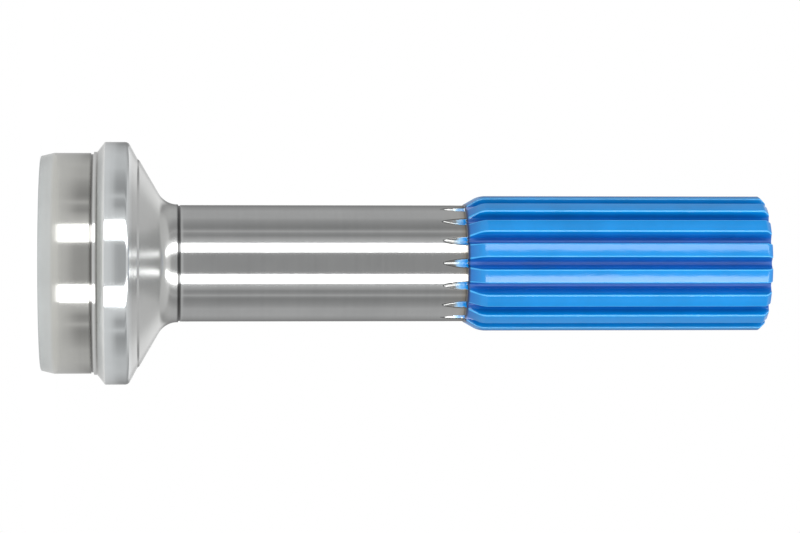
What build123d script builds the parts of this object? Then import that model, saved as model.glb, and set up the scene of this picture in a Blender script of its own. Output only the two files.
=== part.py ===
"""Splined stub shaft for a driveshaft: one steel forging with a nylon coating on its splines.

The shaft's axis is +Z. The tube end stands on z = 0 and the splined end points up. One of the
spaces between the teeth is centred on +X. Lengths are in millimetres and angles in degrees.
"""

import os
from math import asin, cos, radians, sin, tan

from build123d import *

# Tube end: the pilot is pressed into the tube, and the tube is welded to the collar's bevel.
collar_diameter = 114.3
tube_wall = 5.2
pilot_length = 23.6
pilot_lead_length = 6.2
pilot_lead_angle = 14.0
pilot_end_chamfer = 0.6
relief_width = 1.2
relief_depth = 0.55
weld_land_rise = 0.55
weld_land_width = 1.5
weld_bevel_angle = 37.5  # from the plane of the end face
collar_width = 11.0
collar_front_round = 0.8
collar_back_round = 2.6

# Flare: two cones with a small step between them, running into the neck.
back_cone_angle = 62.0  # from the axis
back_cone_drop = 7.95  # radial height of the first cone
cone_step_width = 1.0
cone_step_drop = 0.8
neck_cone_angle = 59.8  # from the axis
neck_fillet = 10.0
neck_land_length = 6.1
neck_step = 0.3  # the neck stands this much proud of the ground shaft
neck_groove_width = 0.9
neck_groove_depth = 0.25

# Plain shaft and splines. The hob leaves its spaces a little below the shaft's surface.
spline_diameter = 63.5
spline_length = 143.2
shaft_length = 134.0
shaft_over_root = 2.6
spline_ramp_angle = 30.0
spline_ramp_round = 9.7
spline_end_chamfer = 2.3
tooth_count = 16
tooth_width = 6.0
flank_depth = 3.8  # from the tooth tips down to the two slopes of the root
root_depth = 6.85  # down to the corner between the slopes, before it is rounded
root_bottom_round = 0.8
hob_radius = 31.9
hob_sweep = 40.0  # how far round the hob's own curve each space is carried

# Nylon coating on the splines.
coat_thickness = 0.3
coat_end_round = 1.5
coat_end_lap = 3.0  # how far it laps inwards over the end face, measured from the roots

# Recess in the tube end, and the turning centres.
recess_diameter = 78.0
recess_depth = 25.0
recess_draft = 9.0
recess_mouth_chamfer = 1.2
recess_floor_round = 7.0
tube_centre_radius = 9.0
tube_centre_drill_radius = 4.0
tube_centre_depth = 16.0
spline_centre_radius = 8.0
spline_centre_drill_radius = 3.5
spline_centre_depth = 15.0
centre_angle = 60.0  # included angle

clear = 5.0  # how far the cutting shapes reach past the surfaces that they cut
tip_cover = 1.5  # how far each space's cutting shape reaches over the tooth tips beside it


def centre_height(mouth_radius, drill_radius):
    """How tall the cone of a turning centre is, from its mouth to its drilled hole."""
    return (mouth_radius - drill_radius) / tan(radians(centre_angle / 2))


# Radii and heights that follow from the sizes above.
collar_r = collar_diameter / 2
pilot_r = collar_r - tube_wall
land_r = pilot_r + weld_land_rise
spline_r = spline_diameter / 2
flank_r = spline_r - flank_depth
root_r = spline_r - root_depth
shaft_r = root_r + shaft_over_root
neck_r = shaft_r + neck_step
cone_step_r = collar_r - back_cone_drop
neck_cone_r = cone_step_r - cone_step_drop
half_pitch = radians(180 / tooth_count)
tooth_plane = Plane.XZ.rotated((0, 0, 180 / tooth_count))  # through the axis and the middle of a tooth

land_z = pilot_length + relief_width
bevel_z = land_z + weld_land_width
collar_z = bevel_z + (collar_r - land_r) * tan(radians(weld_bevel_angle))
collar_back_z = collar_z + collar_width
cone_step_z = collar_back_z + back_cone_drop / tan(radians(back_cone_angle))
neck_cone_z = cone_step_z + cone_step_width
neck_z = neck_cone_z + (neck_cone_r - neck_r) / tan(radians(neck_cone_angle))
neck_end_z = neck_z + neck_land_length
shaft_z = neck_end_z + neck_groove_width
spline_z = shaft_z + shaft_length
spline_top_z = spline_z + (spline_r - shaft_r) / tan(radians(spline_ramp_angle))
end_z = spline_z + spline_length
spline_end_corners = (spline_r, end_z - spline_end_chamfer), (spline_r - spline_end_chamfer, end_z)

recess_r = recess_diameter / 2
recess_floor_r = recess_r - recess_depth * tan(radians(recess_draft))
tube_centre_cone_z = recess_depth + centre_height(tube_centre_radius, tube_centre_drill_radius)
tube_centre_z = recess_depth + tube_centre_depth
spline_centre_cone_z = end_z - centre_height(spline_centre_radius, spline_centre_drill_radius)
coat_lap_r = root_r - coat_end_lap


def corners_near(sketch, *points):
    """The sketch's corners that lie nearest to the given points of its own plane."""
    return [sketch.vertices().sort_by_distance((u, v, 0))[0] for u, v in points]


def flank_y(x):
    """Half the width of a space between two teeth, at distance x from the axis."""
    return x * tan(half_pitch) - tooth_width / 2 / cos(half_pitch)


def make_space(skin):
    """The gap between two teeth with its hob run-out, less a skin of the given thickness."""
    tip_angle = half_pitch - asin(tooth_width / 2 / spline_r)
    tip = spline_r * cos(tip_angle), spline_r * sin(tip_angle)
    over_tip = tip[0] - tip_cover * sin(tip_angle), tip[1] + tip_cover * cos(tip_angle)
    flank_foot = flank_r, flank_y(flank_r)
    outer_corner = spline_r + clear, over_tip[1]
    right_side = [flank_foot, tip, over_tip, outer_corner]
    left_side = [(x, -y) for x, y in reversed(right_side)]
    hob_axis = Axis((root_r + hob_radius, 0, spline_z), (0, -1, 0))
    with BuildPart() as space:
        with BuildSketch(Plane.XY.offset(spline_z)) as section:
            with BuildLine():
                Polyline((root_r, 0), *right_side, *left_side, close=True)
            make_face()
            fillet(corners_near(section, (root_r, 0)), radius=root_bottom_round)
            if skin:
                offset(amount=-skin)
        extrude(amount=spline_length + clear)
        revolve(section.sketch, axis=hob_axis, revolution_arc=hob_sweep)
    return space.part


# The steel shaft, turned all over and then hobbed.
steel_space = make_space(0)
with BuildPart() as stub_shaft:
    with BuildSketch(tooth_plane) as turned:
        with BuildLine():
            lead_r = pilot_r - pilot_lead_length * tan(radians(pilot_lead_angle))
            Polyline(
                (0, tube_centre_z),
                (tube_centre_drill_radius, tube_centre_z),
                (tube_centre_drill_radius, tube_centre_cone_z),
                (tube_centre_radius, recess_depth),
                (recess_floor_r, recess_depth),
                (recess_r, 0),
                (lead_r, 0),
                (pilot_r, pilot_lead_length),
                (pilot_r, pilot_length),
                (pilot_r - relief_depth, pilot_length),
                (pilot_r - relief_depth, land_z),
                (land_r, land_z),
                (land_r, bevel_z),
                (collar_r, collar_z),
                (collar_r, collar_back_z),
                (cone_step_r, cone_step_z),
                (neck_cone_r, neck_cone_z),
                (neck_r, neck_z),
                (neck_r, neck_end_z),
                (shaft_r - neck_groove_depth, neck_end_z),
                (shaft_r - neck_groove_depth, shaft_z),
                (shaft_r, shaft_z),
                (shaft_r, spline_z),
                (spline_r, spline_top_z),
                *spline_end_corners,
                (spline_centre_radius, end_z),
                (spline_centre_drill_radius, spline_centre_cone_z),
                (spline_centre_drill_radius, end_z - spline_centre_depth),
                (0, end_z - spline_centre_depth),
                close=True,
            )
        make_face()
        fillet(corners_near(turned, (recess_floor_r, recess_depth)), radius=recess_floor_round)
        chamfer(corners_near(turned, (recess_r, 0)), length=recess_mouth_chamfer)
        chamfer(corners_near(turned, (lead_r, 0)), length=pilot_end_chamfer)
        fillet(corners_near(turned, (collar_r, collar_z)), radius=collar_front_round)
        fillet(corners_near(turned, (collar_r, collar_back_z)), radius=collar_back_round)
        fillet(corners_near(turned, (neck_r, neck_z)), radius=neck_fillet)
        fillet(corners_near(turned, (spline_r, spline_top_z)), radius=spline_ramp_round)
    revolve(axis=Axis.Z)
    with PolarLocations(0, tooth_count):
        add(steel_space, mode=Mode.SUBTRACT)
stub_shaft.part.label = "stub_shaft"

# The coating: the splines grown by its thickness, less the steel.
coated_space = make_space(coat_thickness)
with BuildPart() as spline_coating:
    with BuildSketch(tooth_plane) as envelope:
        with BuildLine():
            Polyline(
                (coat_lap_r, spline_z - coat_thickness),
                (shaft_r, spline_z - coat_thickness),
                (shaft_r, spline_z),
                (spline_r, spline_top_z),
                *spline_end_corners,
                (coat_lap_r, end_z),
                close=True,
            )
        make_face()
        fillet(corners_near(envelope, (spline_r, spline_top_z)), radius=spline_ramp_round)
        offset(amount=coat_thickness, kind=Kind.INTERSECTION)
        fillet(corners_near(envelope, *spline_end_corners), radius=coat_end_round)
        with Locations((0, spline_z)):
            Rectangle(spline_r, clear, align=(Align.MIN, Align.MAX), mode=Mode.SUBTRACT)
    revolve(axis=Axis.Z)
    with PolarLocations(0, tooth_count):
        add(coated_space, mode=Mode.SUBTRACT)
    add(stub_shaft.part, mode=Mode.SUBTRACT)
spline_coating.part.label = "spline_coating"

os.makedirs("parts", exist_ok=True)
export_step(stub_shaft.part, "parts/stub_shaft.step")
export_step(spline_coating.part, "parts/spline_coating.step")
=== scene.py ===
"""Splined stub shaft, dressed: bright turned steel with glossy blue nylon fused onto the splines."""

from math import atan2, ceil, cos, pi, radians, sin, tan

import bmesh
import bpy
import numpy as np
from mathutils import Matrix, Vector


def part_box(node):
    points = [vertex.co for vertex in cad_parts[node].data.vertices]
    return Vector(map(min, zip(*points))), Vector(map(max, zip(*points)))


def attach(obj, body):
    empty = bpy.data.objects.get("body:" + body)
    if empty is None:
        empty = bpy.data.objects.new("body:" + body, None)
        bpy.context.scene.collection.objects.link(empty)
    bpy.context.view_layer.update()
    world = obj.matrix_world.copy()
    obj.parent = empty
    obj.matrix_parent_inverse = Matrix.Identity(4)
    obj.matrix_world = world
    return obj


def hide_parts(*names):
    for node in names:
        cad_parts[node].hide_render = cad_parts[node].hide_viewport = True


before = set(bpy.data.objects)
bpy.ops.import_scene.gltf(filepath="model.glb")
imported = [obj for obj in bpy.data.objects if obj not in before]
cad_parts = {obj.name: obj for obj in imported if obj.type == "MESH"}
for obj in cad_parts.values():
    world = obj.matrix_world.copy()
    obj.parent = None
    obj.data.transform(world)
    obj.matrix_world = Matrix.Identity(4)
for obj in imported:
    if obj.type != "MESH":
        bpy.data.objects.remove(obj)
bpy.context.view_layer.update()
STEEL_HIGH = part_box("stub_shaft")[1]
COAT_LOW, COAT_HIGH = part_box("spline_coating")

bl_info = {
    "name": "Splined stub shaft",
    "version": (1, 0, 0),
    "blender": (4, 5, 0),
    "location": "View3D > Sidebar > Stub Shaft",
    "description": "Makes a nylon-coated splined stub shaft and its studio",
    "category": "Object",
}


# Divisions and tolerances ---------------------------------------------------------------------

# A row of points across half a tooth pitch runs up the wall of the gap, round the tooth's edge
# and over its land. The slices pick the wall, the edge and the narrower burr out of such a row.
EDGE_STEPS = 6
LAND_STEPS = 8
WALL = slice(None, -LAND_STEPS - EDGE_STEPS - 1)
EDGE = slice(-LAND_STEPS - EDGE_STEPS, -LAND_STEPS - 1)
BURR = slice(-LAND_STEPS - EDGE_STEPS + 1, -LAND_STEPS - 1)
# What the "film" attribute says on an edge, where the nylon gets a painted highlight and the steel of the
# flutes turns darker.
EDGE_FILM = -1.0

# How many points or steps each rounded or spread-out stretch is divided into.
ROOT_POINTS = 6
FOOT_STEPS = 4
FLANK_STEPS = 4
RUNOUT_STEPS = 26
RIM_STEPS = 6
LAP_STEPS = 4
TABLE_SIDES = 96
# Above 1, the rows of the run-outs crowd towards their tips.
RUNOUT_CROWDING = 1.4

# The largest turn between two points of an arc.
TURNED_STEP = radians(9)
RAMP_STEP = radians(4)
END_STEP = radians(6)
# A corner whose half angle is wider than this isn't rounded.
NEARLY_STRAIGHT = radians(89.5)

# The most of a wall or a land that the round of its edge takes.
EDGE_SHARE = 0.45
# The round along the steel teeth's edges, under the coating.
SHARP_EDGE = 0.0001
# The height of the coating's rounded rim, as a share of its thickness.
RIM_SHARE = 0.7
# Half the angle of the turning centres' cones.
CENTRE_SLOPE = radians(30)
# The turned outline ends this far past the grinding relief.
PLAIN_START = 0.002
# Plain rows so far below the run-outs keep the shading of the shaft even.
ROWS_BELOW_RUNOUTS = (0.008, 0.0005, 0)

# Points closer than this are one, within a tooth pitch and where two pitches meet.
SECTOR_WELD = 2e-7
RING_WELD = 1e-6
# Edges shorter than this go.
SLIVER = 1e-7
# Faces that meet at more than this are shaded with a sharp edge.
STEEL_SHARP_ANGLE = radians(32)
NYLON_SHARP_ANGLE = radians(50)


# Settings -------------------------------------------------------------------------------------


def length(name, text, metres):
    """A length that a user can change, in metres."""
    return bpy.props.FloatProperty(
        name=name, description=text, default=metres, min=0.0, precision=5, subtype="DISTANCE", unit="LENGTH"
    )


def angle(name, text, degree):
    """An angle that a user can change, stated in degrees."""
    return bpy.props.FloatProperty(
        name=name, description=text, default=radians(degree), subtype="ANGLE", unit="ROTATION"
    )


def share(name, text, value):
    """A share from 0 to 1 that a user can change."""
    return bpy.props.FloatProperty(
        name=name, description=text, default=value, min=0.0, max=1.0, subtype="FACTOR"
    )


def colour(name, text, value):
    """A linear colour that a user can change."""
    return bpy.props.FloatVectorProperty(
        name=name, description=text, default=value, size=3, min=0.0, max=1.0, subtype="COLOR"
    )


class TubeEndSizes(bpy.types.PropertyGroup):
    """Sizes of the pilot, the weld bevel, the collar and the flare."""

    collar_radius: length("Collar radius", "Radius of the weld collar", STEEL_HIGH[0])
    tube_wall: length("Tube wall", "Step from the collar down to the pilot", 0.0052)
    pilot_length: length("Pilot length", "Height of the pilot with its lead-in", 0.0236)
    lead_length: length("Lead-in", "Height of the lead-in taper", 0.0062)
    lead_angle: angle("Lead-in angle", "Slope of the lead-in taper", 14)
    relief_width: length("Relief width", "Width of the groove beside the weld land", 0.0012)
    relief_depth: length("Relief depth", "Depth of the groove beside the weld land", 0.00055)
    land_rise: length("Land rise", "Step from the pilot up to the weld land", 0.00055)
    land_width: length("Land width", "Width of the weld land", 0.0015)
    bevel_angle: angle("Bevel angle", "Weld bevel, measured from the plane of the end face", 37.5)
    collar_width: length("Collar width", "Width of the collar", 0.011)
    back_angle: angle("Back cone angle", "First cone of the flare, from the axis", 62)
    back_drop: length("Back cone drop", "Radial height of the first cone", 0.00795)
    step_width: length("Cone step width", "Width of the step between the cones", 0.001)
    step_drop: length("Cone step drop", "Radial height of the step between the cones", 0.0008)
    neck_angle: angle("Neck cone angle", "Second cone of the flare, from the axis", 59.8)
    neck_round: length("Neck round", "Fillet between the flare and the neck", 0.010)
    neck_land: length("Neck land", "From the corner of the neck to the ground shaft", 0.0061)
    neck_step: length("Neck step", "How much the neck stands proud of the shaft", 0.0003)
    groove_width: length("Neck groove width", "Width of the grinding relief", 0.0009)
    groove_depth: length("Neck groove depth", "Depth of the grinding relief", 0.00025)
    recess_radius: length("Recess radius", "Mouth of the forged recess", 0.039)
    recess_depth: length("Recess depth", "Depth of the forged recess", 0.025)
    recess_draft: angle("Recess draft", "Draft of the recess's wall", 9)
    recess_round: length("Recess round", "Fillet round the recess's floor", 0.007)
    mouth_round: length("Mouth round", "Round from the recess to the end face", 0.0014)
    face_round: length("Face round", "Round from the end face to the lead-in", 0.0008)
    lead_round: length("Lead-in round", "Round from the lead-in to the pilot", 0.003)
    corner_break: length("Corner break", "Round on the turned corners beside the weld land", 0.0002)
    land_round: length("Land round", "Round from the weld land to the bevel", 0.0004)
    bevel_round: length("Bevel round", "Round from the bevel to the collar", 0.001)
    back_round: length("Back round", "Round from the collar to the first cone", 0.0026)
    step_round: length("Cone step round", "Rounds of the step between the cones", 0.0012)
    relief_break: length("Relief break", "Round on the corners of the grinding relief", 0.00015)
    relief_round: length("Relief round", "Fillets in the grinding relief", 0.0001)
    centre_radius: length("Recess centre radius", "Mouth of the turning centre in the recess", 0.009)
    centre_round: length("Recess centre round", "Round at the mouth of that centre", 0.0005)
    drill_radius: length("Recess drill radius", "Drilled hole of that centre", 0.004)
    drill_round: length("Recess drill round", "Fillet at the bottom of that hole", 0.0003)
    centre_depth: length("Recess centre depth", "Depth of that centre", 0.016)


class SplineSizes(bpy.types.PropertyGroup):
    """Sizes of the teeth, the roots and the coating on them."""

    teeth: bpy.props.IntProperty(name="Teeth", description="Number of teeth", default=16, min=4)
    outer_radius: length("Tip radius", "Radius over the steel teeth", 0.03175)
    shaft_radius: length("Shaft radius", "Radius of the plain shaft", 0.0275)
    tooth_width: length("Tooth width", "Width of a steel tooth between its flanks", 0.0060)
    flank_depth: length("Flank depth", "From the tips down to the slopes of the root", 0.0038)
    root_depth: length("Root depth", "From the tips down to the corner of the root", 0.00685)
    root_round: length("Root round", "Round at the bottom of a steel root", 0.0008)
    hob_radius: length("Hob radius", "Radius of the cutter that leaves the run-outs", 0.0319)
    ramp_angle: angle("Ramp angle", "Slope where the teeth rise out of the shaft", 30)
    ramp_round: length("Ramp round", "Round from the ramp to the tips", 0.0097)
    end_chamfer: length("End chamfer", "Chamfer at the teeth's far ends", 0.0023)
    end_round: length("End round", "Round on the corners of that chamfer", 0.0003)
    burr_round: length("Burr round", "Round along the edges of the bare flutes", 0.00028)
    coat: length("Coating", "Thickness of the nylon", COAT_HIGH[2] - STEEL_HIGH[2])
    coat_tip_round: length("Coated tip round", "Round along the coated teeth's edges", 0.00062)
    coat_root_round: length("Coated root round", "Round where the nylon pools in the roots", 0.0014)
    coat_end_round: length("Coated end round", "Round at the coated teeth's far ends", 0.0015)
    coat_lap_radius: length("Lap radius", "Inner radius of the nylon on the end face", 0.0216)
    centre_radius: length("Centre radius", "Mouth of the turning centre", 0.008)
    drill_radius: length("Drill radius", "Drilled hole of the turning centre", 0.0035)
    centre_depth: length("Centre depth", "Depth of the turning centre", 0.015)
    mouth_width: length("Mouth width", "Width of the bevel at the turning centre's mouth", 0.0004)
    mouth_depth: length("Mouth depth", "Depth of that bevel", 0.0003)


# Outlines and sections ------------------------------------------------------------------------


def unit_arc(start, end, count):
    """Evenly spaced (x, y) points on the unit circle, from one angle to another."""
    turns = np.linspace(start, end, count)
    return np.column_stack([np.cos(turns), np.sin(turns)])


def arc_corner(before, corner, after, radius, turn=TURNED_STEP, steps=None):
    """Points of the arc that rounds a corner, from the side of one neighbour to the other."""
    before, corner, after = (np.array(point, dtype=float) for point in (before, corner, after))
    inward = (before - corner) / np.linalg.norm(before - corner)
    outward = (after - corner) / np.linalg.norm(after - corner)
    half = np.arccos(np.clip(inward @ outward, -1, 1)) / 2
    if radius <= 0 or half > NEARLY_STRAIGHT:
        return [corner]
    reach = radius / tan(half)
    middle = inward + outward
    centre = corner + middle / np.linalg.norm(middle) * radius / sin(half)
    start = corner + inward * reach - centre
    end = corner + outward * reach - centre
    sweep = pi - 2 * half
    count = steps or max(2, ceil(sweep / turn))
    points = []
    for step in range(count + 1):
        part = step / count
        weight_start = sin((1 - part) * sweep) / sin(sweep)
        weight_end = sin(part * sweep) / sin(sweep)
        points.append(centre + start * weight_start + end * weight_end)
    return points


def rounded(corners):
    """An outline through (radius, height, round) corners, each rounded by its own radius."""
    points = [np.array(corners[0][:2])]
    for before, corner, after in zip(corners, corners[1:], corners[2:]):
        points.extend(arc_corner(before[:2], corner[:2], after[:2], corner[2]))
    points.append(np.array(corners[-1][:2]))
    return points


class SplineForm:
    """The cross-sections of the teeth, worked out from the sizes."""

    def __init__(self, sizes):
        self.sizes = sizes
        self.pitch = pi / sizes.teeth
        self.corner_x = sizes.outer_radius - sizes.root_depth
        self.foot_x = sizes.outer_radius - sizes.flank_depth
        foot_y = self.foot_x * tan(self.pitch) - sizes.tooth_width / 2 / cos(self.pitch)
        self.slope = atan2(foot_y, self.foot_x - self.corner_x)
        self.hob_x = self.corner_x + sizes.hob_radius
        self.start_z = COAT_LOW[2]
        self.end_z = STEEL_HIGH[2]

    def space(self, grow, root_round):
        """Half of the gap between two teeth, from its bottom outwards, for a skin that grows into it."""
        sizes = self.sizes
        flank_width = (sizes.tooth_width / 2 + grow) / cos(self.pitch)
        slope_rise = tan(self.slope)
        bottom_x = self.corner_x + grow / sin(self.slope)
        foot_x = (bottom_x * slope_rise - flank_width) / (slope_rise - tan(self.pitch))
        foot = (foot_x, foot_x * tan(self.pitch) - flank_width)
        # The flank runs on past the thickest skin, and tip() cuts it at the tooth's edge.
        outer_x = sizes.outer_radius + 4 * sizes.coat
        outer = (outer_x, outer_x * tan(self.pitch) - flank_width)
        centre_x = bottom_x + root_round / sin(self.slope)
        turns = np.linspace(pi, pi / 2 + self.slope, ROOT_POINTS)
        bottom_arc = [np.array([centre_x + root_round * cos(turn), root_round * sin(turn)]) for turn in turns]
        bottom_arc[0][1] = 0.0
        foot_arc = arc_corner((bottom_x, 0), foot, outer, root_round / 2, steps=FOOT_STEPS)
        corners = bottom_arc + [(bottom_arc[-1] + foot_arc[0]) / 2] + foot_arc
        parts = np.linspace(1 / FLANK_STEPS, 1, FLANK_STEPS)
        flank = [foot_arc[-1] + (np.array(outer) - foot_arc[-1]) * part for part in parts]
        return np.array(corners + flank)

    def section(self, z, radius, grow=0.0, root_round=None, tip_round=SHARP_EDGE):
        """Half a tooth pitch at height z, as (x, y) points from a gap's middle to a tooth's middle."""
        if root_round is None:
            root_round = self.sizes.root_round
        profile = self.space(grow, root_round)
        behind = max(0.0, self.start_z - z)
        reach = np.maximum((self.hob_x - profile[:, 0]) ** 2 - behind**2, 0)
        profile[:, 0] = self.hob_x - np.sqrt(reach)
        radii = np.hypot(profile[:, 0], profile[:, 1])
        wall = np.tile([radius, 0.0], (len(profile), 1))
        tip = np.tile([radius, 0.0], (EDGE_STEPS + 1, 1))
        if radii[0] < radius:
            wall, tip = self.tip(profile, radii, radius, tip_round)
        land_start = atan2(tip[-1][1], tip[-1][0])
        land = radius * unit_arc(land_start, self.pitch, LAND_STEPS + 1)[1:]
        return np.vstack([wall, tip, land])

    def depth_in_gap(self, points):
        """1 at the bottom of a gap, falling to 0 at the tips of the teeth, with their edges marked. The
        nylon's colour darkens with it, for pooling and painted shade, and gets a painted highlight on the
        edges.
        """
        radii = np.hypot(points[:, 0], points[:, 1])
        depth = np.clip((self.sizes.outer_radius - radii) / (self.sizes.outer_radius - self.corner_x), 0, 1)
        depth[EDGE] = EDGE_FILM
        return depth

    def tip(self, profile, radii, radius, tip_round):
        """The wall of the gap up to its rounded edge, and the rounded edge itself."""
        travel = np.concatenate([[0.0], np.cumsum(np.linalg.norm(np.diff(profile, axis=0), axis=1))])
        edge_travel = np.interp(radius, radii, travel)
        edge = np.array([np.interp(edge_travel, travel, profile[:, axis]) for axis in (0, 1)])
        theta = atan2(edge[1], edge[0])
        reach = min(tip_round, EDGE_SHARE * edge_travel, EDGE_SHARE * radius * (self.pitch - theta))
        start = np.array([np.interp(edge_travel - reach, travel, profile[:, axis]) for axis in (0, 1)])
        end = radius * np.array([cos(theta + reach / radius), sin(theta + reach / radius)])
        part = np.linspace(0, 1, EDGE_STEPS + 1)[:, None]
        points = (1 - part) ** 2 * start + 2 * part * (1 - part) * edge + part**2 * end
        wall = np.where((travel < edge_travel - reach)[:, None], profile, start)
        return wall, points


def ramp_outline(sizes, start_z, skin):
    """The teeth's outer outline from the shaft up the ramp, for a skin of the given thickness."""
    lift = skin / cos(sizes.ramp_angle)
    rise = sizes.outer_radius - sizes.shaft_radius
    outer_radius = sizes.outer_radius + skin
    top_z = start_z + (rise - lift + skin) / tan(sizes.ramp_angle)
    start = (sizes.shaft_radius + lift, start_z)
    top = (outer_radius, top_z)
    beyond = (outer_radius, top_z + rise)
    return [np.array(start)] + arc_corner(start, top, beyond, sizes.ramp_round + skin, turn=RAMP_STEP)


def end_outline(sizes, end_z, skin, end_round):
    """The teeth's outer outline round the chamfer at their far ends."""
    # A skin lengthens the legs of a 45 degree chamfer by this share of its thickness.
    drop = sizes.end_chamfer + skin * (2 - 2**0.5)
    outer_radius = sizes.outer_radius + skin
    face_z = end_z + skin
    before = (outer_radius, face_z - 2 * drop)
    low = (outer_radius, face_z - drop)
    high = (outer_radius - drop, face_z)
    inner = (outer_radius - 2 * drop, face_z)
    low_arc = arc_corner(before, low, high, end_round, turn=END_STEP)
    high_arc = arc_corner(low, high, inner, end_round, turn=END_STEP)
    return low_arc + high_arc


# Meshes ---------------------------------------------------------------------------------------


class Rows:
    """Rows of points of half a tooth pitch, from a gap's middle to a tooth's middle."""

    def __init__(self):
        self.rows = []
        self.film = []

    def add(self, points, heights, film=0.0):
        """One row of (x, y) points, with one height for all or one each."""
        points = np.asarray(points, dtype=float)
        heights = np.broadcast_to(heights, len(points))
        self.rows.append(np.column_stack([points, heights]))
        self.film.append(np.broadcast_to(film, len(points)))

    def circle(self, radius, z, pitch):
        """A row of evenly spaced points on a circle."""
        self.add(radius * unit_arc(0, pitch, len(self.rows[0])), z)

    def quads(self, closed=False):
        """Vertices, films and faces of the grid that the rows span."""
        width = len(self.rows[0])
        vertices = np.vstack(self.rows)
        films = np.concatenate(self.film)
        faces = []
        pairs = list(zip(range(len(self.rows) - 1), range(1, len(self.rows))))
        if closed:
            pairs.append((len(self.rows) - 1, 0))
        for low, high in pairs:
            for column in range(width - 1):
                a, b = low * width + column, high * width + column
                faces.append((a, a + 1, b + 1, b))
        return vertices, films, faces


def add_object(name, data):
    """A new object of the scene that shows the data."""
    made = bpy.data.objects.new(name, data)
    bpy.context.scene.collection.objects.link(made)
    return made


def sector_object(name, grids):
    """One tooth pitch of a piece, made from half-pitch grids and their mirror images."""
    mesh = bmesh.new()
    layer = mesh.verts.layers.float.new("film")
    for vertices, films, faces in grids:
        for side in (1, -1):
            made = []
            for (x, y, z), film in zip(vertices, films):
                vertex = mesh.verts.new((x, side * y, z))
                vertex[layer] = film
                made.append(vertex)
            for face in faces:
                corners = face if side == 1 else face[::-1]
                mesh.faces.new([made[index] for index in corners])
    bmesh.ops.remove_doubles(mesh, verts=mesh.verts[:], dist=SECTOR_WELD)
    bmesh.ops.dissolve_degenerate(mesh, edges=mesh.edges[:], dist=SLIVER)
    data = bpy.data.meshes.new(name)
    mesh.to_mesh(data)
    mesh.free()
    return add_object(name, data)


def ring_tree():
    """Geometry Nodes that repeat one tooth pitch round the axis and weld the copies together."""
    tree = bpy.data.node_groups.new("Ring of teeth", "GeometryNodeTree")
    inputs = (
        ("Geometry", "NodeSocketGeometry"),
        ("Teeth", "NodeSocketInt"),
        ("Weld distance", "NodeSocketFloat"),
        ("Material", "NodeSocketMaterial"),
    )
    for name, kind in inputs:
        tree.interface.new_socket(name=name, in_out="INPUT", socket_type=kind)
    tree.interface.new_socket(name="Geometry", in_out="OUTPUT", socket_type="NodeSocketGeometry")
    new, link = tree.nodes.new, tree.links.new
    entry = new("NodeGroupInput")
    points = new("GeometryNodePoints")
    index = new("GeometryNodeInputIndex")
    share_of_turn = new("ShaderNodeMath")
    share_of_turn.operation = "DIVIDE"
    turn = new("ShaderNodeMath")
    turn.operation = "MULTIPLY"
    turn.inputs[1].default_value = 2 * pi
    axis_turn = new("ShaderNodeCombineXYZ")
    copies = new("GeometryNodeInstanceOnPoints")
    real = new("GeometryNodeRealizeInstances")
    weld = new("GeometryNodeMergeByDistance")
    finish = new("GeometryNodeSetMaterial")
    leave = new("NodeGroupOutput")
    link(entry.outputs["Teeth"], points.inputs["Count"])
    link(index.outputs[0], share_of_turn.inputs[0])
    link(entry.outputs["Teeth"], share_of_turn.inputs[1])
    link(share_of_turn.outputs[0], turn.inputs[0])
    link(turn.outputs[0], axis_turn.inputs["Z"])
    link(points.outputs[0], copies.inputs["Points"])
    link(entry.outputs["Geometry"], copies.inputs["Instance"])
    link(axis_turn.outputs[0], copies.inputs["Rotation"])
    link(copies.outputs[0], real.inputs[0])
    link(real.outputs[0], weld.inputs["Geometry"])
    link(entry.outputs["Weld distance"], weld.inputs["Distance"])
    link(weld.outputs[0], finish.inputs["Geometry"])
    link(entry.outputs["Material"], finish.inputs["Material"])
    link(finish.outputs[0], leave.inputs[0])
    return tree


def ring_of(sector, teeth, material, name, sharp_angle):
    """The whole piece that one tooth pitch makes round the axis, as a plain closed mesh."""
    tree = bpy.data.node_groups.get("Ring of teeth") or ring_tree()
    values = {"Teeth": teeth, "Weld distance": RING_WELD, "Material": material}
    modifier = sector.modifiers.new("Ring of teeth", "NODES")
    modifier.node_group = tree
    for item in tree.interface.items_tree:
        if item.in_out == "INPUT" and item.name in values:
            modifier[item.identifier] = values[item.name]
    graph = bpy.context.evaluated_depsgraph_get()
    data = bpy.data.meshes.new_from_object(sector.evaluated_get(graph), depsgraph=graph)
    data.name = name
    bpy.data.objects.remove(sector)
    work = bmesh.new()
    work.from_mesh(data)
    bmesh.ops.recalc_face_normals(work, faces=work.faces[:])
    open_edges = sum(1 for edge in work.edges if not edge.is_manifold)
    work.to_mesh(data)
    work.free()
    if open_edges:
        raise RuntimeError(f"{name} has {open_edges} open edges")
    data.polygons.foreach_set("use_smooth", [True] * len(data.polygons))
    data.set_sharp_from_angle(angle=sharp_angle)
    return add_object(name, data)


# Steel ----------------------------------------------------------------------------------------


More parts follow.
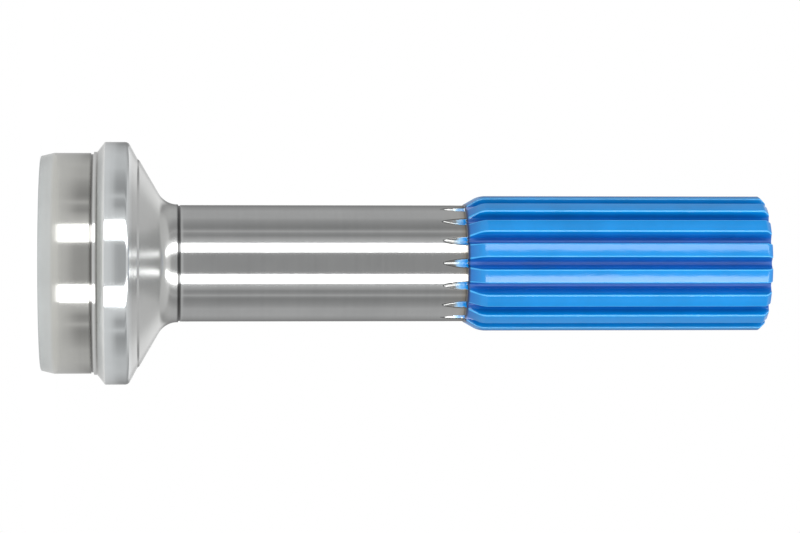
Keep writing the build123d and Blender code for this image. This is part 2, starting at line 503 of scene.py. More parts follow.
class TubeEndForm:
    """The radii, heights and outline of the tube end, worked out from the sizes."""

    def __init__(self, sizes, shaft_radius):
        self.sizes = sizes
        self.shaft_radius = shaft_radius
        self.pilot_radius = sizes.collar_radius - sizes.tube_wall
        self.lead_radius = self.pilot_radius - sizes.lead_length * tan(sizes.lead_angle)
        self.land_radius = self.pilot_radius + sizes.land_rise
        self.step_radius = sizes.collar_radius - sizes.back_drop
        self.cone_radius = self.step_radius - sizes.step_drop
        self.neck_radius = shaft_radius + sizes.neck_step
        self.lead_z = sizes.lead_length
        self.pilot_z = sizes.pilot_length
        self.land_z = self.pilot_z + sizes.relief_width
        self.bevel_z = self.land_z + sizes.land_width
        self.collar_z = self.bevel_z + (sizes.collar_radius - self.land_radius) * tan(sizes.bevel_angle)
        self.back_z = self.collar_z + sizes.collar_width
        self.step_z = self.back_z + sizes.back_drop / tan(sizes.back_angle)
        self.cone_z = self.step_z + sizes.step_width
        self.neck_z = self.cone_z + (self.cone_radius - self.neck_radius) / tan(sizes.neck_angle)
        self.groove_z = self.neck_z + sizes.neck_land
        self.shaft_z = self.groove_z + sizes.groove_width

    def recess_corners(self):
        """Corners from the axis, down the turning centre and out to the recess's mouth."""
        sizes = self.sizes
        floor_radius = sizes.recess_radius - sizes.recess_depth * tan(sizes.recess_draft)
        taper = (sizes.centre_radius - sizes.drill_radius) / tan(CENTRE_SLOPE)
        bottom_z = sizes.recess_depth + sizes.centre_depth
        return [
            (0, bottom_z, 0),
            (sizes.drill_radius, bottom_z, sizes.drill_round),
            (sizes.drill_radius, sizes.recess_depth + taper, sizes.corner_break),
            (sizes.centre_radius, sizes.recess_depth, sizes.centre_round),
            (floor_radius, sizes.recess_depth, sizes.recess_round),
            (sizes.recess_radius, 0, sizes.mouth_round),
        ]

    def pilot_corners(self):
        """Corners from the end face over the pilot and the weld land to the collar."""
        sizes = self.sizes
        relief_radius = self.pilot_radius - sizes.relief_depth
        return [
            (self.lead_radius, 0, sizes.face_round),
            (self.pilot_radius, self.lead_z, sizes.lead_round),
            (self.pilot_radius, self.pilot_z, sizes.corner_break),
            (relief_radius, self.pilot_z, sizes.corner_break),
            (relief_radius, self.land_z, sizes.corner_break),
            (self.land_radius, self.land_z, sizes.corner_break),
            (self.land_radius, self.bevel_z, sizes.land_round),
            (sizes.collar_radius, self.collar_z, sizes.bevel_round),
        ]

    def flare_corners(self):
        """Corners from the collar down the cones and the neck to the shaft."""
        sizes = self.sizes
        groove_radius = self.shaft_radius - sizes.groove_depth
        plain_z = self.shaft_z + PLAIN_START
        return [
            (sizes.collar_radius, self.back_z, sizes.back_round),
            (self.step_radius, self.step_z, sizes.step_round),
            (self.cone_radius, self.cone_z, sizes.step_round),
            (self.neck_radius, self.neck_z, sizes.neck_round),
            (self.neck_radius, self.groove_z, sizes.relief_break),
            (groove_radius, self.groove_z, sizes.relief_round),
            (groove_radius, self.shaft_z, sizes.relief_round),
            (self.shaft_radius, self.shaft_z, sizes.relief_break),
            (self.shaft_radius, plain_z, 0),
        ]

    def outline(self):
        """The turned outline from the axis in the recess, round the tube end and up to the shaft."""
        return rounded(self.recess_corners() + self.pilot_corners() + self.flare_corners())


def runout_heights(form):
    """Heights along the run-outs, from just below their tips up to the start of the teeth."""
    sizes = form.sizes
    bottom_x = form.space(0, sizes.root_round)[0][0]
    behind = ((form.hob_x - bottom_x) ** 2 - (form.hob_x - sizes.shaft_radius) ** 2) ** 0.5
    parts = [(step / RUNOUT_STEPS) ** RUNOUT_CROWDING for step in range(RUNOUT_STEPS + 1)]
    return [form.start_z - behind * (1 - part) for part in parts]


def steel_spline_rows(form, sizes):
    """Rows of the steel teeth, from the start of the ramp to the lap on the end face."""
    rows = Rows()
    outline = ramp_outline(sizes, form.start_z, 0) + end_outline(sizes, form.end_z, 0, sizes.end_round)
    for radius, z in outline:
        rows.add(form.section(z, radius), z)
    rows.circle(sizes.coat_lap_radius, form.end_z, form.pitch)
    return rows


def turned_rows(form, tube_end, top_z):
    """Rows of the turned tube end and of the plain shaft up to the run-outs."""
    rows = Rows()
    circle = unit_arc(0, form.pitch, LAND_STEPS + 1)
    for radius, z in tube_end.outline():
        rows.add(circle * radius, z)
    for below in ROWS_BELOW_RUNOUTS:
        rows.add(circle * form.sizes.shaft_radius, top_z - below)
    return rows


def flute_rows(form, sizes, heights):
    """Rows of the bare flutes that the cutter leaves, with the nylon thinning out along them."""
    rows = Rows()
    for z in heights:
        points = form.section(z, sizes.shaft_radius, tip_round=sizes.burr_round)
        film = np.zeros(len(points))
        film[WALL] = 1 - (form.start_z - z) / (form.start_z - heights[0])
        film[BURR] = EDGE_FILM
        rows.add(points, z, film)
    return rows


def add_turning_centre(rows, form, sizes):
    """Rows of the turning centre in the far end face."""
    drill_z = form.end_z - sizes.centre_depth
    cone_z = form.end_z - (sizes.centre_radius - sizes.drill_radius) / tan(CENTRE_SLOPE)
    centre = (
        (sizes.centre_radius + sizes.mouth_width, form.end_z),
        (sizes.centre_radius, form.end_z - sizes.mouth_depth),
        (sizes.drill_radius, cone_z),
        (sizes.drill_radius, drill_z),
        (0, drill_z),
    )
    for radius, z in centre:
        rows.circle(radius, z, form.pitch)


def make_steel_mesh(tube_end, sizes, material):
    """The whole shaft in steel, with its teeth under the coating."""
    form = SplineForm(sizes)
    heights = runout_heights(form)
    lathe = turned_rows(form, tube_end, heights[0])
    flutes = flute_rows(form, sizes, heights)
    teeth = steel_spline_rows(form, sizes)
    # The flutes end on the very points that the teeth start from.
    flutes.rows[-1] = teeth.rows[0].copy()
    add_turning_centre(teeth, form, sizes)
    sector = sector_object("steel_sector", [lathe.quads(), flutes.quads(), teeth.quads()])
    return ring_of(sector, sizes.teeth, material, "steel_shaft", STEEL_SHARP_ANGLE)


# Coating --------------------------------------------------------------------------------------


def add_rim(rows, form, sizes):
    """Rows of the coating's rounded rim, which starts on the bare shaft."""
    rows.add(form.section(form.start_z, sizes.shaft_radius), form.start_z)
    for step in range(1, RIM_STEPS + 1):
        turn = pi / 2 * step / RIM_STEPS
        skin = sizes.coat * sin(turn)
        rise = sizes.coat * RIM_SHARE * (1 - cos(turn))
        z = form.start_z + rise
        radius = sizes.shaft_radius + rise * tan(sizes.ramp_angle) + skin / cos(sizes.ramp_angle)
        pooled = sizes.root_round + (sizes.coat_root_round - sizes.root_round) * sin(turn)
        points = form.section(z, radius, grow=skin, root_round=pooled, tip_round=sizes.coat_tip_round)
        rows.add(points, z, form.depth_in_gap(points))


def add_skin(rows, form, sizes):
    """Rows of the coating's outer face, up the ramp and along the teeth to the far end face."""
    face_z = form.end_z + sizes.coat
    edge_round = sizes.coat_end_round * (1 - cos(pi / 4))
    outline = ramp_outline(sizes, form.start_z, sizes.coat)[1:]
    outline += end_outline(sizes, form.end_z, sizes.coat, sizes.coat_end_round)
    for radius, z in outline:
        over = max(0.0, z - (face_z - edge_round))
        inset = edge_round - (edge_round**2 - min(over, edge_round) ** 2) ** 0.5
        grow = sizes.coat - inset
        points = form.section(
            z, radius, grow=grow, root_round=sizes.coat_root_round, tip_round=sizes.coat_tip_round
        )
        rows.add(points, z, form.depth_in_gap(points))


def add_lap(rows, form, sizes):
    """Rows of the coating's lap over the far end face, rounded down to the steel."""
    face_z = form.end_z + sizes.coat
    last = rows.rows[-1][:, :2]
    circle = unit_arc(0, form.pitch, len(last))
    rows.add((last + circle * (sizes.coat_lap_radius + sizes.coat)) / 2, face_z)
    for step in range(LAP_STEPS + 1):
        turn = pi / 2 * step / LAP_STEPS
        radius = sizes.coat_lap_radius + sizes.coat * (1 - sin(turn))
        rows.add(circle * radius, face_z - sizes.coat * (1 - cos(turn)))


def make_coating_mesh(sizes, material):
    """The nylon on the teeth: a closed skin with rounded edges, pooled in the roots."""
    form = SplineForm(sizes)
    rows = Rows()
    add_rim(rows, form, sizes)
    add_skin(rows, form, sizes)
    add_lap(rows, form, sizes)
    inner = steel_spline_rows(form, sizes).rows
    for row in reversed(inner[1:-1]):
        rows.add(row[:, :2], row[:, 2])
    sector = sector_object("coating_sector", [rows.quads(closed=True)])
    return ring_of(sector, sizes.teeth, material, "nylon_coating", NYLON_SHARP_ANGLE)


# Finishes -------------------------------------------------------------------------------------


WHITE = (1.0, 1.0, 1.0)
BLEND_FIRST, BLEND_SECOND, BLEND_RESULT = 6, 7, 2  # a Mix node's colour sockets


def grey(value):
    """A grey of the given brightness."""
    return (value, value, value)


class Graph:
    """A shader that is being put together from nodes."""

    def __init__(self, tree):
        self.tree = tree
        tree.nodes.clear()

    def node(self, kind, **settings):
        """A new node with its settings."""
        made = self.tree.nodes.new(kind)
        for key, value in settings.items():
            setattr(made, key, value)
        return made

    def join(self, source, target):
        """A link, or a plain value where the source is a number or a colour."""
        if isinstance(source, bpy.types.NodeSocket):
            self.tree.links.new(source, target)
        else:
            target.default_value = (*source, 1) if isinstance(source, tuple) else source

    def math(self, operation, first, second=0.0, clamp=False):
        """One step of arithmetic."""
        made = self.node("ShaderNodeMath", operation=operation, use_clamp=clamp)
        self.join(first, made.inputs[0])
        self.join(second, made.inputs[1])
        return made.outputs[0]

    def steps(self, source, stops):
        """A curve through (value, result) stops, where a result is a number or a colour."""
        low, high = stops[0][0], stops[-1][0]
        span = self.node("ShaderNodeMapRange")
        for entry, value in (("Value", source), ("From Min", low), ("From Max", high)):
            self.join(value, span.inputs[entry])
        ramp = self.node("ShaderNodeValToRGB")
        elements = ramp.color_ramp.elements
        elements.remove(elements[1])
        for index, (value, result) in enumerate(stops):
            position = (value - low) / (high - low)
            made = elements.new(position) if index else elements[0]
            made.position = position
            made.color = (*(result if isinstance(result, tuple) else grey(result)), 1)
        self.join(span.outputs[0], ramp.inputs[0])
        return ramp.outputs[0]

    def blend(self, amount, first, second, how="MIX"):
        """A mix of two colours."""
        made = self.node("ShaderNodeMix", data_type="RGBA", blend_type=how)
        self.join(amount, made.inputs["Factor"])
        self.join(first, made.inputs[BLEND_FIRST])
        self.join(second, made.inputs[BLEND_SECOND])
        return made.outputs[BLEND_RESULT]

    def tinted(self, base, tint):
        """A colour multiplied by another one, or by a number."""
        return self.blend(1.0, base, tint, "MULTIPLY")


class Finish(Graph):
    """A material on Object coordinates."""

    def __init__(self, name):
        self.material = bpy.data.materials.new(name)
        self.material.use_nodes = True
        super().__init__(self.material.node_tree)
        self.shader = self.node("ShaderNodeBsdfPrincipled").inputs
        output = self.node("ShaderNodeOutputMaterial")
        self.join(self.shader["Base Color"].node.outputs["BSDF"], output.inputs["Surface"])
        self.place = self.node("ShaderNodeTexCoord").outputs["Object"]
        apart = self.node("ShaderNodeSeparateXYZ")
        self.join(self.place, apart.inputs[0])
        self.x, self.y, self.z = apart.outputs
        squares = [self.math("MULTIPLY", axis, axis) for axis in (self.x, self.y)]
        self.radius = self.math("SQRT", self.math("ADD", *squares))

    def vector(self, x, y, z):
        """A vector from three numbers."""
        made = self.node("ShaderNodeCombineXYZ")
        for source, target in zip((x, y, z), made.inputs):
            self.join(source, target)
        return made.outputs[0]

    def stretched(self, across, along, path=None):
        """Object coordinates scaled across the axis and along it, or along another path."""
        scaled = ((self.x, across), (self.y, across), (self.z if path is None else path, along))
        return self.vector(*(self.math("MULTIPLY", source, scale) for source, scale in scaled))

    def noise(self, scale, detail=2.0, roughness=0.5, where=None):
        """Noise, on Object coordinates unless told otherwise."""
        made = self.node("ShaderNodeTexNoise")
        self.join(self.place if where is None else where, made.inputs["Vector"])
        for key, value in (("Scale", scale), ("Detail", detail), ("Roughness", roughness)):
            made.inputs[key].default_value = value
        return made.outputs["Fac"]

    def attribute(self, name):
        """A number stored on the piece's points."""
        return self.node("ShaderNodeAttribute", attribute_name=name).outputs["Fac"]

    def bump(self, height, distance, below=None):
        """Relief from a height between 0 and 1 that stands for a distance in metres."""
        made = self.node("ShaderNodeBump")
        made.inputs["Distance"].default_value = distance
        self.join(height, made.inputs["Height"])
        if below is not None:
            self.join(below, made.inputs["Normal"])
        return made.outputs[0]


NYLON_IOR = 1.53
# How much a step outwards counts as way along the lathe's cut.
TURNING_SLANT = 0.7
# The shaft's plain tint, and warm and cool tints brightened into painted sheen on the pilot and the collar.
BARE, WARM_WITH_PAINTED_SHEEN, COOL_WITH_PAINTED_SHEEN = (0.98, 0.985, 0.99), (1.08, 1.07, 1.03), (1.36, 1.40, 1.43)


def steel_tints_and_painted_light(end, coat_z):
    """The steel's tint by height: (height, tint) stops along the tube end and up to the coating. Besides the
    steel's own tints and a faint brown edge by the coating, they paint light: the lead-in, the pilot and the
    collar are brightened into painted sheen, the weld land and the bevel's round carry painted highlights,
    and dark bands are painted shade in the grooves and at the foot of the coating's rim.
    """
    return (
        # Painted sheen: the end face and the lead-in, cooler and brighter.
        (0.0, (1.14, 1.17, 1.19)),
        (end.lead_z - 0.0006, (1.16, 1.18, 1.19)),
        # The pilot, warm and brightened into painted sheen.
        (end.lead_z + 0.0004, WARM_WITH_PAINTED_SHEEN),
        (end.pilot_z - 0.0003, WARM_WITH_PAINTED_SHEEN),
        # Painted shade: dark in the relief groove beside the weld land.
        (end.pilot_z + 0.0002, (0.26, 0.25, 0.24)),
        (end.land_z - 0.0001, (0.28, 0.27, 0.26)),
        # Painted highlight along the weld land.
        (end.land_z + 0.0002, grey(1.3)),
        (end.bevel_z - 0.0001, grey(1.1)),
        # Painted shade: a dark line at the foot of the weld bevel.
        (end.bevel_z + 0.0002, (0.36, 0.35, 0.34)),
        (end.bevel_z + 0.0009, (0.95, 0.97, 0.98)),
        # Painted highlight on the round from the bevel to the collar.
        (end.collar_z - 0.0011, (1.10, 1.12, 1.14)),
        (end.collar_z - 0.0003, grey(1.50)),
        # The collar, cool and brightened into painted sheen.
        (end.collar_z + 0.0005, COOL_WITH_PAINTED_SHEEN),
        (end.back_z - 0.0009, COOL_WITH_PAINTED_SHEEN),
        (end.back_z + 0.0021, grey(0.96)),
        (end.neck_z - 0.0021, (0.98, 0.98, 0.97)),
        (end.neck_z + 0.0019, (1.14, 1.14, 1.13)),
        # Painted shade: dark in the neck's grinding relief.
        (end.groove_z - 0.0005, grey(1.10)),
        (end.groove_z - 0.0001, grey(0.16)),
        (end.shaft_z, grey(0.22)),
        (end.shaft_z + 0.0004, BARE),
        (coat_z - 0.012, BARE),
        # A faint brown tint by the coating, then painted shade on the steel at the foot of the coating's rim.
        (coat_z - 0.0035, (0.98, 0.97, 0.95)),
        (coat_z - 0.0014, (0.86, 0.80, 0.72)),
        (coat_z - 0.0009, (0.42, 0.40, 0.38)),
        (coat_z, (0.30, 0.29, 0.28)),
        (coat_z + 0.001, BARE),
    )


def steel_roughness(end, coat_z):
    """The steel's roughness by height: smooth on the ground shaft, rougher on the flare."""
    return (
        (0.0, 0.20),
        (end.lead_z - 0.0002, 0.11),
        (end.land_z + 0.0002, 0.10),
        (end.collar_z + 0.0021, 0.09),
        (end.back_z - 0.0014, 0.11),
        (end.back_z + 0.0011, 0.24),
        (end.neck_z - 0.0031, 0.23),
        (end.groove_z - 0.0010, 0.20),
        (end.shaft_z + 0.0009, 0.105),
        (coat_z, 0.095),
    )


def relief_strength(end):
    """How deep the turning marks are, by height."""
    return (
        (0.0, 0.6),
        (end.back_z - 0.0004, 0.6),
        (end.back_z + 0.0021, 1.0),
        (end.neck_z + 0.0019, 0.9),
        (end.shaft_z + 0.0009, 0.25),
    )


def add_nylon_film(finish, settings, base):
    """The nylon that thins out in the flutes, and the dark burr along their edges."""
    nylon = tuple(settings.nylon)
    pale = tuple(settings.pale_nylon)
    film = finish.attribute("film")
    specks = finish.math("SUBTRACT", finish.noise(scale=520, detail=3, roughness=0.7), 0.5)
    ragged = finish.math("ADD", film, finish.math("MULTIPLY", specks, 0.5))
    hue = finish.steps(ragged, ((0.0, pale), (0.60, pale), (0.95, nylon), (1.0, nylon)))
    burr = finish.steps(film, ((EDGE_FILM, 0.12), (-0.5, 0.2), (-0.05, 1.0), (1.0, 1.0)))
    covered = finish.steps(ragged, ((0.0, 0.0), (0.44, 0.0), (0.70, 1.0), (1.0, 1.0)))
    finish.join(finish.blend(covered, finish.tinted(base, burr), hue), finish.shader["Base Color"])
    finish.join(finish.math("SUBTRACT", 1.0, covered), finish.shader["Metallic"])
    finish.shader["IOR"].default_value = NYLON_IOR


def turned_steel_finish(settings, tube_end, coat_z):
    """Bright turned and ground steel, with nylon thinning out into the flutes."""
    finish = Finish("turned_steel")
    lathe_path = finish.math("ADD", finish.z, finish.math("MULTIPLY", finish.radius, TURNING_SLANT))
    turning = finish.noise(scale=1500, detail=3, roughness=0.7, where=finish.vector(0.0, 0.0, lathe_path))
    streaks = finish.noise(scale=1, detail=3, roughness=0.6, where=finish.stretched(14, 420, lathe_path))
    clouds = finish.noise(scale=38, detail=3, roughness=0.6)
    cloudy = finish.noise(scale=85, detail=3, roughness=0.6)
    # A ramp holds no result above 1, so the tints and painted light are halved and the steel's colour is
    # doubled.
    tints_and_painted_light = [(z, tuple(channel / 2 for channel in tint)) for z, tint in steel_tints_and_painted_light(tube_end, coat_z)]
    base = finish.tinted(tuple(2 * channel for channel in settings.steel), finish.steps(finish.z, tints_and_painted_light))
    base = finish.tinted(base, finish.steps(clouds, ((0.3, 1.0), (0.7, 0.93))))
    base = finish.tinted(base, finish.steps(streaks, ((0.3, 0.97), (0.7, 1.0))))
    add_nylon_film(finish, settings, base)
    rough = finish.steps(finish.z, steel_roughness(tube_end, coat_z))
    rough = finish.math("MULTIPLY", rough, finish.steps(cloudy, ((0.25, 0.86), (0.75, 1.0))))
    finish.join(rough, finish.shader["Roughness"])
    marks = finish.math("ADD", turning, finish.math("MULTIPLY", streaks, 0.6))
    relief = finish.math("MULTIPLY", marks, finish.steps(finish.z, relief_strength(tube_end)))
    waves = finish.bump(finish.noise(scale=16, detail=2), distance=1.2e-4)
    finish.join(finish.bump(relief, distance=4e-6, below=waves), finish.shader["Normal"])
    return finish.material


def blue_nylon_finish(settings):
    """Glossy blue nylon, fused on, slightly uneven and deeper where it pools in the roots, with painted shade
    in the roots and on the rim and painted highlights along the teeth's edges.
    """
    finish = Finish("blue_nylon")
    nylon = tuple(settings.nylon)
    deep = tuple(settings.pooled_nylon_and_painted_shade)
    thin_and_highlight = tuple(settings.thin_nylon_and_painted_highlight)
    film = finish.attribute("film")
    # Painted light on the nylon: painted highlights along the teeth's edges, and painted shade that darkens
    # the roots on top of the deeper colour of the pooled nylon.
    depths = ((EDGE_FILM, thin_and_highlight), (-0.35, nylon), (0.05, nylon), (0.7, deep), (1.0, deep))
    rim_z = COAT_LOW[2]
    # Painted shade on the coating's rim, where it rises from the bare shaft.
    rim_stops = ((rim_z, 1.0), (rim_z + 0.0006, 1.0), (rim_z + 0.0012, 0.0), (COAT_HIGH[2], 0.0))
    rim = finish.steps(finish.z, rim_stops)
    base = finish.blend(rim, finish.steps(film, depths), tuple(settings.rim_painted_shade))
    mottle = finish.steps(finish.noise(scale=55, detail=4, roughness=0.6), ((0.3, 1.0), (0.7, 0.86)))
    finish.join(finish.tinted(base, mottle), finish.shader["Base Color"])
    uneven = finish.steps(finish.noise(scale=160, detail=3), ((0.3, 0.11), (0.7, 0.17)))
    pooled = finish.steps(film, ((EDGE_FILM, 0.0), (0.6, 0.0), (0.9, 0.5), (1.0, 0.5)))
    finish.join(finish.math("ADD", uneven, pooled), finish.shader["Roughness"])
    finish.shader["IOR"].default_value = NYLON_IOR
    finish.shader["Specular IOR Level"].default_value = 0.7
    drawn_out = finish.noise(scale=1, where=finish.stretched(160, 60))
    flow = finish.bump(drawn_out, distance=9e-5)
    grain = finish.noise(scale=900, detail=2)
    finish.join(finish.bump(grain, distance=6e-6, below=flow), finish.shader["Normal"])
    return finish.material


class FinishSettings(bpy.types.PropertyGroup):
    """Colours of the steel and the nylon, and of the painted shade and highlights on the nylon."""

    steel: colour("Steel", "Colour of the turned steel", (0.66, 0.665, 0.66))
    nylon: colour("Nylon", "Colour of the fused coating", (0.001, 0.27, 0.73))
    # Thin nylon along the teeth's edges, brightened into a painted highlight.
    thin_nylon_and_painted_highlight: colour("Thin nylon", "Colour along the teeth's edges", (0.06, 0.46, 0.93))
    # Thick nylon in the roots, darkened further by painted shade.
    pooled_nylon_and_painted_shade: colour("Pooled nylon", "Colour where the coating is thick", (0.001, 0.115, 0.50))
    pale_nylon: colour("Pale nylon", "Colour where the nylon thins out in the flutes", (0.36, 0.66, 0.92))
    # Painted shade: the dark navy on the coating's rim.
    rim_painted_shade: colour("Rim nylon", "Colour of the coating's rim", (0.002, 0.03, 0.12))


# Stage ----------------------------------------------------------------------------------------

# The table top lies this far below the end face. The camera sees most of its brightness as
# glow, and everything else sees more of it as paint.
TABLE_GAP = 0.0002
TABLE_PAINT, TABLE_GLOW = (0.48, 0.48, 0.47), 0.3
SEEN_PAINT, SEEN_GLOW = grey(0.16), 0.9
SENSOR_WIDTH = 36.0
NEAREST_SEEN = 0.05
ROOM_GREY = 0.66

# How bright the walls are, by the angle from the camera's side in degrees.
WALLS = (
    (0, 0.38),
    (17, 0.38),
    (21, 0.50),
    (39, 0.74),
    (44, 0.62),
    (52, 0.45),
    (56, 0.33),
    (62, 0.38),
    (66, 0.55),
    (70, 0.37),
    (75, 0.31),
    (82, 0.34),
    (92, 0.41),
    (102, 0.52),
    (125, 0.52),
    (147, 0.36),
    (155, 0.28),
    (180, 0.28),
)


class StageSettings(bpy.types.PropertyGroup):
    """The studio: two tall lamps, the table top and the camera."""

    lamp_brightness: bpy.props.FloatProperty(
        name="Lamp brightness", description="Radiance of the tall lamps", default=4.4, min=0.0
    )
    lamp_balance: share("Lamp balance", "Share of that radiance that the upper lamp keeps", 0.72)
    lamp_distance: length("Lamp distance", "From the axis to the tall lamps", 1.0)
    lamp_width: length("Lamp width", "Width of a tall lamp", 0.31)
    lamp_height: length("Lamp height", "Height of the tall lamps over the end face", 2.3)
    lamp_foot: length("Lamp foot", "How far the tall lamps reach down below the end face", 0.15)
    lamp_azimuth: angle("Lamp azimuth", "Each tall lamp's turn away from the camera", 30.5)
    table_radius: length("Table radius", "Radius of the white table top", 0.2)
    camera_distance: length("Camera distance", "From the axis to the camera", 1.5016)
    camera_height: length("Camera height", "Height of the camera over the end face", 0.0536)
    camera_side: length("Camera side", "How far the camera stands to the side", 0.0015)
    camera_tilt: angle("Camera tilt", "How far the camera looks up", 4.4)
    focal_length: bpy.props.FloatProperty(
        name="Focal length", description="In millimetres, on a 36 mm sensor", default=142.97, min=1.0
    )


def make_camera(settings):
    """The camera, lying on its side so that the shaft runs across the picture."""
    data = bpy.data.cameras.new("camera")
    data.sensor_width = SENSOR_WIDTH
    data.lens = settings.focal_length
    data.clip_start = NEAREST_SEEN
    tilt = settings.camera_tilt
    right = Vector((0, -sin(tilt), cos(tilt)))
    up = Vector((-1, 0, 0))
    back = Vector((0, -cos(tilt), -sin(tilt)))
    place = (settings.camera_side, -settings.camera_distance, settings.camera_height)
    camera = add_object("camera", data)
    camera.matrix_world = Matrix.Translation(place) @ Matrix((right, up, back)).transposed().to_4x4()
    bpy.context.scene.camera = camera


def make_lamp(name, settings, side, brightness):
    """A tall soft lamp that faces the axis and reaches down past the table top."""
    data = bpy.data.lights.new(name, "AREA")
    data.shape = "RECTANGLE"
    height = settings.lamp_height + settings.lamp_foot
    data.size, data.size_y = settings.lamp_width, height
    data.energy = brightness * pi * settings.lamp_width * height
    azimuth = side * settings.lamp_azimuth
    away = Vector((sin(azimuth), -cos(azimuth), 0))
    up = Vector((0, 0, 1))
    place = away * settings.lamp_distance + up * (settings.lamp_height - settings.lamp_foot) / 2
    turn = Matrix((up.cross(away), up, away)).transposed().to_4x4()
    lamp = add_object(name, data)
    lamp.matrix_world = Matrix.Translation(place) @ turn


def table_finish():
    """White, with the soft shadow of the shaft, and seen through from below."""
    material = bpy.data.materials.new("floor")
    material.use_nodes = True
    graph = Graph(material.node_tree)
    paint = graph.node("ShaderNodeBsdfDiffuse")
    glow = graph.node("ShaderNodeEmission")
    both = graph.node("ShaderNodeAddShader")
    seen = graph.node("ShaderNodeLightPath").outputs["Is Camera Ray"]
    graph.join(graph.blend(seen, TABLE_PAINT, SEEN_PAINT), paint.inputs["Color"])
    graph.join(graph.steps(seen, ((0.0, TABLE_GLOW), (1.0, SEEN_GLOW))), glow.inputs["Strength"])
    graph.join(paint.outputs[0], both.inputs[0])
    graph.join(glow.outputs[0], both.inputs[1])
    below = graph.node("ShaderNodeMixShader")
    graph.join(graph.node("ShaderNodeNewGeometry").outputs["Backfacing"], below.inputs[0])
    graph.join(both.outputs[0], below.inputs[1])
    graph.join(graph.node("ShaderNodeBsdfTransparent").outputs[0], below.inputs[2])
    graph.join(below.outputs[0], graph.node("ShaderNodeOutputMaterial").inputs["Surface"])
    return material


def make_floor(radius):
    """A plain round white table top."""
    data = bpy.data.meshes.new("floor")
    turns = [2 * pi * step / TABLE_SIDES for step in range(TABLE_SIDES)]
    edge = [(radius * cos(turn), radius * sin(turn), -TABLE_GAP) for turn in turns]
    data.from_pydata(edge, [], [tuple(range(TABLE_SIDES))])
    floor = add_object("floor", data)
    data.materials.append(table_finish())


def make_world():
    """A white backdrop behind the shaft, and a room of plain greys round the rest."""
    world = bpy.data.worlds.new("studio")
    bpy.context.scene.world = world
    world.use_nodes = True
    graph = Graph(world.node_tree)
    apart = graph.node("ShaderNodeSeparateXYZ")
    direction = graph.node("ShaderNodeTexCoord").outputs["Generated"]
    graph.join(direction, apart.inputs[0])
    x, y, z = apart.outputs
    turn = graph.math("ABSOLUTE", graph.math("ARCTAN2", x, graph.math("MULTIPLY", y, -1)))
    turn = graph.math("MULTIPLY", turn, 180 / pi)
    # The backdrop is narrow at eye level and wider above, and ends at the ceiling.
    eye_level = graph.steps(turn, ((0, 0.0), (170, 0.0), (176, 1.0), (180, 1.0)))
    higher = graph.steps(turn, ((0, 0.0), (150, 0.0), (163, 1.0), (180, 1.0)))
    above = graph.steps(z, ((-1.0, 0.0), (0.2, 0.0), (0.36, 1.0), (1.0, 1.0)))
    ceiling = graph.steps(z, ((-1.0, 0.0), (0.60, 0.0), (0.70, 1.0), (1.0, 1.0)))
    backdrop = graph.math("MAXIMUM", eye_level, graph.math("MULTIPLY", higher, above))
    backdrop = graph.math("MULTIPLY", backdrop, graph.math("SUBTRACT", 1.0, ceiling))
    ground = graph.steps(z, ((-1.0, 1.0), (-0.05, 0.9), (-0.014, 0.4), (-0.004, 0.0), (1.0, 0.0)))
    room = graph.blend(backdrop, graph.steps(turn, WALLS), WHITE)
    room = graph.blend(ceiling, room, grey(ROOM_GREY))
    room = graph.blend(ground, room, grey(ROOM_GREY))
    path = graph.node("ShaderNodeLightPath").outputs
    mirrored = graph.math("ADD", path["Is Glossy Ray"], path["Is Transmission Ray"])
    mirrored = graph.math("MULTIPLY", mirrored, backdrop)
    white = graph.math("ADD", path["Is Camera Ray"], mirrored, clamp=True)
    light = graph.node("ShaderNodeBackground")
    graph.join(graph.blend(white, room, WHITE), light.inputs["Color"])
    graph.join(light.outputs[0], graph.node("ShaderNodeOutputWorld").inputs["Surface"])


# Operators ------------------------------------------------------------------------------------


def take_place(piece, node):
    """The piece stands for a solid of the frame and rides on the same body."""
    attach(piece, "root")
    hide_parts(node)


class STUBSHAFT_OT_steel(bpy.types.Operator):
    """Make the turned steel shaft with its pilot, weld bevel, collar, flare and run-outs"""

    bl_idname = "stubshaft.steel"
    bl_label = "Steel shaft"

    def execute(self, context):
        scene = context.scene
        tube_end = TubeEndForm(scene.stub_tube_end, scene.stub_spline.shaft_radius)
        material = turned_steel_finish(scene.stub_finish, tube_end, COAT_LOW[2])
        piece = make_steel_mesh(tube_end, scene.stub_spline, material)
        take_place(piece, "stub_shaft")
        return {"FINISHED"}


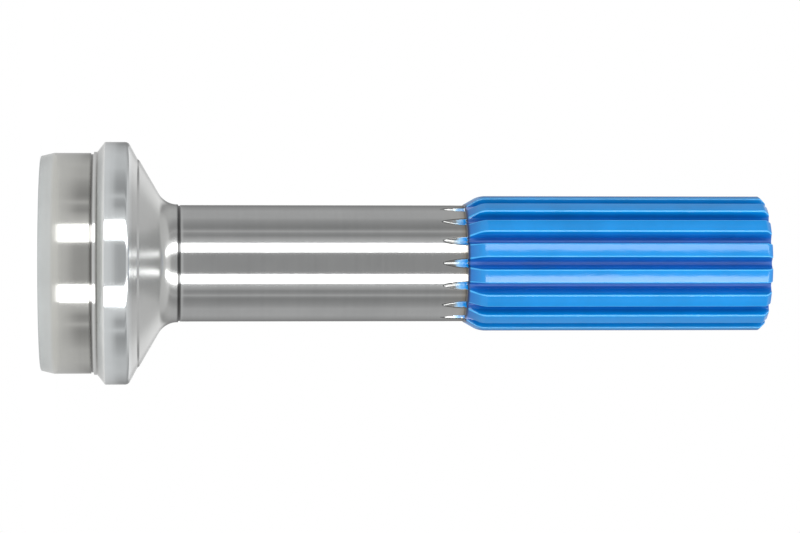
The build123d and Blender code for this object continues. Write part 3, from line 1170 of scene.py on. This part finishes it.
class STUBSHAFT_OT_coating(bpy.types.Operator):
    """Make the blue nylon that is fused onto the splines"""

    bl_idname = "stubshaft.coating"
    bl_label = "Nylon coating"

    def execute(self, context):
        scene = context.scene
        material = blue_nylon_finish(scene.stub_finish)
        piece = make_coating_mesh(scene.stub_spline, material)
        take_place(piece, "spline_coating")
        return {"FINISHED"}


class STUBSHAFT_OT_stage(bpy.types.Operator):
    """Set up the camera, the lamps, the backdrop and the table top"""

    bl_idname = "stubshaft.stage"
    bl_label = "Studio"

    def execute(self, context):
        settings = context.scene.stub_stage
        context.scene.view_settings.view_transform = "Standard"
        make_camera(settings)
        make_floor(settings.table_radius)
        make_world()
        make_lamp("lamp_upper", settings, -1, settings.lamp_brightness * settings.lamp_balance)
        make_lamp("lamp_lower", settings, 1, settings.lamp_brightness)
        return {"FINISHED"}


class STUBSHAFT_PT_panel(bpy.types.Panel):
    """Lists what makes the stub shaft and its studio"""

    bl_idname = "STUBSHAFT_PT_panel"
    bl_label = "Stub Shaft"
    bl_space_type = "VIEW_3D"
    bl_region_type = "UI"
    bl_category = "Stub Shaft"

    def draw(self, context):
        column = self.layout.column()
        for operator in OPERATORS:
            column.operator(operator.bl_idname)
        for group in SETTINGS:
            settings = getattr(context.scene, group)
            box = self.layout.box()
            for name in settings.bl_rna.properties.keys():
                if name not in {"rna_type", "name"}:
                    box.prop(settings, name)


OPERATORS = (STUBSHAFT_OT_steel, STUBSHAFT_OT_coating, STUBSHAFT_OT_stage)
SETTINGS = {
    "stub_tube_end": TubeEndSizes,
    "stub_spline": SplineSizes,
    "stub_finish": FinishSettings,
    "stub_stage": StageSettings,
}
CLASSES = (*SETTINGS.values(), *OPERATORS, STUBSHAFT_PT_panel)


def register():
    """Make the settings, the operators and the panel known."""
    for item in CLASSES:
        bpy.utils.register_class(item)
    for name, group in SETTINGS.items():
        setattr(bpy.types.Scene, name, bpy.props.PointerProperty(type=group))


def unregister():
    """Take everything back that register made known."""
    for name in SETTINGS:
        delattr(bpy.types.Scene, name)
    for item in reversed(CLASSES):
        bpy.utils.unregister_class(item)


def main():
    """Make the pieces and the studio."""
    register()
    bpy.ops.stubshaft.steel()
    bpy.ops.stubshaft.coating()
    bpy.ops.stubshaft.stage()


if __name__ == "__main__":
    main()
